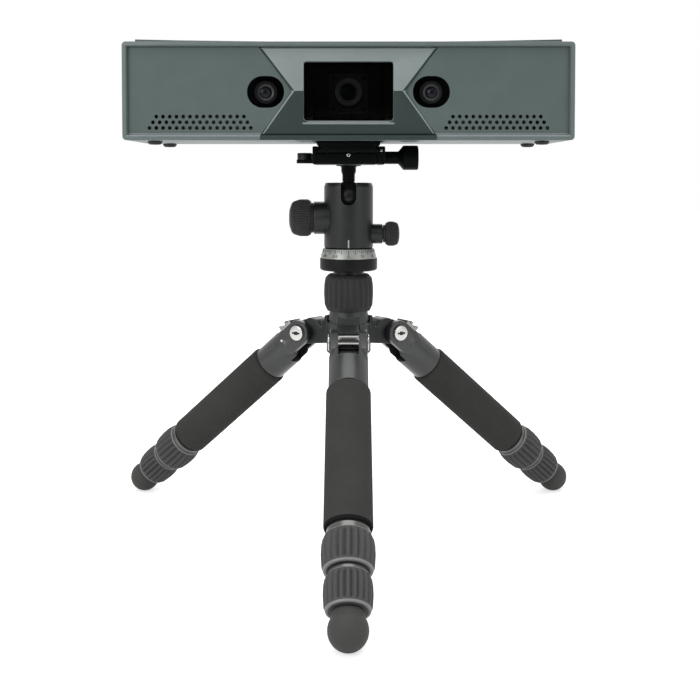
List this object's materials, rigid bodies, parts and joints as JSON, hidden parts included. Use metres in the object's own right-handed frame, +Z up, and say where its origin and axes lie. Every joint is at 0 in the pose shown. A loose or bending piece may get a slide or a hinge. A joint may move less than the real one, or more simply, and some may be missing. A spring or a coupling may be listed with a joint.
{
  "type": "handheld three-d scanner",
  "caption": "Bar-shaped stereo scanner with a centre projector window and side cameras, on a ball head and a small tripod with telescoping legs.",
  "frame": {"origin": "on the ground, at the middle of the part's bounding box", "axes": "+Z up from the ground through the centre column's direction; +X along the scanner bar, to the right seen from the front; the projector and the front leg face -Y"},
  "size_m": [0.3174, 0.2773, 0.3109],
  "materials": {
    "slate_paint": "matt slate powder coat",
    "slate_dark": "dark slate moulding",
    "black_glass": "tinted window",
    "black_anodised": "satin black",
    "grey_anodised": "satin dark grey",
    "bright_steel": "bright",
    "raw_aluminium": "plain",
    "black_rubber": "moulded grip",
    "foam": "closed-cell foam",
    "circuit_board": "solder mask",
    "lens_black": "satin black",
    "level_glass": "liquid-filled vial"
  },
  "bodies": {
    "hub": {"hub": "black_anodised"},
    "column_lock": {"column_lock": "black_rubber"},
    "column": {"column": "black_anodised", "pan_base": "grey_anodised"},
    "head": {"head_housing": "grey_anodised"},
    "ball_knob": {"ball_knob": "black_rubber"},
    "pan_knob": {"pan_knob": "black_rubber"},
    "ball": {"ball": "bright_steel"},
    "stem": {"stem": "black_anodised"},
    "clamp": {"clamp_base": "black_anodised", "spirit_level": "level_glass"},
    "jaw": {"clamp_jaw": "black_anodised"},
    "clamp_knob": {"clamp_knob": "black_anodised"},
    "scanner": {"quick_release_plate": "black_anodised", "plate_screw": "bright_steel", "housing": "slate_paint", "left_panel": "slate_paint", "right_panel": "slate_paint", "centre_bezel": "slate_paint", "window_glass": "black_glass", "projector": "lens_black", "left_camera": "lens_black", "right_camera": "lens_black", "optics_rail": "raw_aluminium", "main_board": "circuit_board", "rear_cover": "slate_dark", "top_cover": "slate_dark", "front_left_pad": "black_rubber", "front_right_pad": "black_rubber", "rear_left_pad": "black_rubber", "rear_right_pad": "black_rubber"},
    "fan": {"fan_rotor": "lens_black"},
    "power_button": {"power_button": "black_anodised"},
    "front_leg": {"front_leg_head": "grey_anodised", "front_pivot_bolt": "bright_steel", "front_grip": "foam"},
    "front_latch": {"front_latch": "bright_steel"},
    "front_lock_1": {"front_lock_1": "black_rubber"},
    "front_mid": {"front_middle_tube": "grey_anodised"},
    "front_lock_2": {"front_lock_2": "black_rubber"},
    "front_tip": {"front_tip_tube": "grey_anodised", "front_foot": "black_rubber"},
    "right_leg": {"right_leg_head": "grey_anodised", "right_pivot_bolt": "bright_steel", "right_grip": "foam"},
    "right_latch": {"right_latch": "bright_steel"},
    "right_lock_1": {"right_lock_1": "black_rubber"},
    "right_mid": {"right_middle_tube": "grey_anodised"},
    "right_lock_2": {"right_lock_2": "black_rubber"},
    "right_tip": {"right_tip_tube": "grey_anodised", "right_foot": "black_rubber"},
    "left_leg": {"left_leg_head": "grey_anodised", "left_pivot_bolt": "bright_steel", "left_grip": "foam"},
    "left_latch": {"left_latch": "bright_steel"},
    "left_lock_1": {"left_lock_1": "black_rubber"},
    "left_mid": {"left_middle_tube": "grey_anodised"},
    "left_lock_2": {"left_lock_2": "black_rubber"},
    "left_tip": {"left_tip_tube": "grey_anodised", "left_foot": "black_rubber"}
  },
  "joints": [
    {"name": "column_lock_twist", "type": "hinge", "parent": "hub", "child": "column_lock", "pos_m": [0, 0.04287, 0.15416], "axis": [0, 0, 1], "range_deg": [0, 90]},
    {"name": "column_slide", "type": "slide", "parent": "hub", "child": "column", "axis": [0, 0, 1], "range_m": [0, 0.05]},
    {"name": "pan", "type": "hinge", "parent": "column", "child": "head", "pos_m": [0, 0.04287, 0.18256], "axis": [0, 0, 1], "continuous": true},
    {"name": "ball_knob_turn", "type": "hinge", "parent": "head", "child": "ball_knob", "pos_m": [-0.0222, 0.04287, 0.20176], "axis": [-1, 0, 0], "range_deg": [0, 180]},
    {"name": "pan_knob_turn", "type": "hinge", "parent": "head", "child": "pan_knob", "pos_m": [0.0217, 0.04287, 0.19156], "axis": [1, 0, 0], "range_deg": [0, 180]},
    {"name": "ball_roll", "type": "hinge", "parent": "head", "child": "ball", "pos_m": [0, 0.04287, 0.21496], "axis": [0, 1, 0], "range_deg": [-25, 25]},
    {"name": "ball_tilt", "type": "hinge", "parent": "ball", "child": "stem", "pos_m": [0, 0.04287, 0.21496], "axis": [1, 0, 0], "range_deg": [-25, 90]},
    {"name": "ball_spin", "type": "hinge", "parent": "stem", "child": "clamp", "pos_m": [0, 0.04287, 0.21496], "axis": [0, 0, 1], "continuous": true},
    {"name": "jaw_slide", "type": "slide", "parent": "clamp", "child": "jaw", "axis": [1, 0, 0], "range_m": [0, 0.004]},
    {"name": "clamp_knob_turn", "type": "hinge", "parent": "jaw", "child": "clamp_knob", "pos_m": [0.0227, 0.04287, 0.24006], "axis": [1, 0, 0], "range_deg": [0, 1800]},
    {"name": "plate_slide", "type": "slide", "parent": "clamp", "child": "scanner", "axis": [0, 1, 0], "range_m": [-0.015, 0.015]},
    {"name": "fan_spin", "type": "hinge", "parent": "scanner", "child": "fan", "pos_m": [-0.07, 0.07707, 0.27946], "axis": [0, 1, 0], "continuous": true},
    {"name": "power_button_press", "type": "slide", "parent": "scanner", "child": "power_button", "axis": [0, -1, 0], "range_m": [0, 0.001], "stiffness_N_per_m": 1500, "springref_m": -0.0005},
    {"name": "front_hip", "type": "hinge", "parent": "hub", "child": "front_leg", "pos_m": [0, 0.01067, 0.12666], "axis": [-1, 0, 0], "range_deg": [-50, 0]},
    {"name": "front_latch_pull", "type": "slide", "parent": "front_leg", "child": "front_latch", "axis": [0, -0.6428, 0.766], "range_m": [0, 0.0035], "stiffness_N_per_m": 800, "springref_m": -0.001},
    {"name": "front_lock_1_twist", "type": "hinge", "parent": "front_leg", "child": "front_lock_1", "pos_m": [0, -0.09608, 0.03709], "axis": [0, -0.766, -0.6428], "range_deg": [0, 90]},
    {"name": "front_middle_slide", "type": "slide", "parent": "front_leg", "child": "front_mid", "axis": [0, -0.766, -0.6428], "range_m": [0, 0.08]},
    {"name": "front_lock_2_twist", "type": "hinge", "parent": "front_mid", "child": "front_lock_2", "pos_m": [0, -0.11366, 0.02233], "axis": [0, -0.766, -0.6428], "range_deg": [0, 90]},
    {"name": "front_tip_slide", "type": "slide", "parent": "front_mid", "child": "front_tip", "axis": [0, -0.766, -0.6428], "range_m": [0, 0.08]},
    {"name": "right_hip", "type": "hinge", "parent": "hub", "child": "right_leg", "pos_m": [0.02789, 0.05897, 0.12666], "axis": [0.5, -0.866, 0], "range_deg": [-50, 0]},
    {"name": "right_latch_pull", "type": "slide", "parent": "right_leg", "child": "right_latch", "axis": [0.5567, 0.3214, 0.766], "range_m": [0, 0.0035], "stiffness_N_per_m": 800, "springref_m": -0.001},
    {"name": "right_lock_1_twist", "type": "hinge", "parent": "right_leg", "child": "right_lock_1", "pos_m": [0.12033, 0.11234, 0.03709], "axis": [0.6634, 0.383, -0.6428], "range_deg": [0, 90]},
    {"name": "right_middle_slide", "type": "slide", "parent": "right_leg", "child": "right_mid", "axis": [0.6634, 0.383, -0.6428], "range_m": [0, 0.08]},
    {"name": "right_lock_2_twist", "type": "hinge", "parent": "right_mid", "child": "right_lock_2", "pos_m": [0.13556, 0.12113, 0.02233], "axis": [0.6634, 0.383, -0.6428], "range_deg": [0, 90]},
    {"name": "right_tip_slide", "type": "slide", "parent": "right_mid", "child": "right_tip", "axis": [0.6634, 0.383, -0.6428], "range_m": [0, 0.08]},
    {"name": "left_hip", "type": "hinge", "parent": "hub", "child": "left_leg", "pos_m": [-0.02789, 0.05897, 0.12666], "axis": [0.5, 0.866, 0], "range_deg": [-50, 0]},
    {"name": "left_latch_pull", "type": "slide", "parent": "left_leg", "child": "left_latch", "axis": [-0.5567, 0.3214, 0.766], "range_m": [0, 0.0035], "stiffness_N_per_m": 800, "springref_m": -0.001},
    {"name": "left_lock_1_twist", "type": "hinge", "parent": "left_leg", "child": "left_lock_1", "pos_m": [-0.12033, 0.11234, 0.03709], "axis": [-0.6634, 0.383, -0.6428], "range_deg": [0, 90]},
    {"name": "left_middle_slide", "type": "slide", "parent": "left_leg", "child": "left_mid", "axis": [-0.6634, 0.383, -0.6428], "range_m": [0, 0.08]},
    {"name": "left_lock_2_twist", "type": "hinge", "parent": "left_mid", "child": "left_lock_2", "pos_m": [-0.13556, 0.12113, 0.02233], "axis": [-0.6634, 0.383, -0.6428], "range_deg": [0, 90]},
    {"name": "left_tip_slide", "type": "slide", "parent": "left_mid", "child": "left_tip", "axis": [-0.6634, 0.383, -0.6428], "range_m": [0, 0.08]}
  ],
  "couplings": [
    {"joint": "clamp_knob_turn", "follows": "jaw_slide", "rad_per_m": 7853.9}
  ]
}
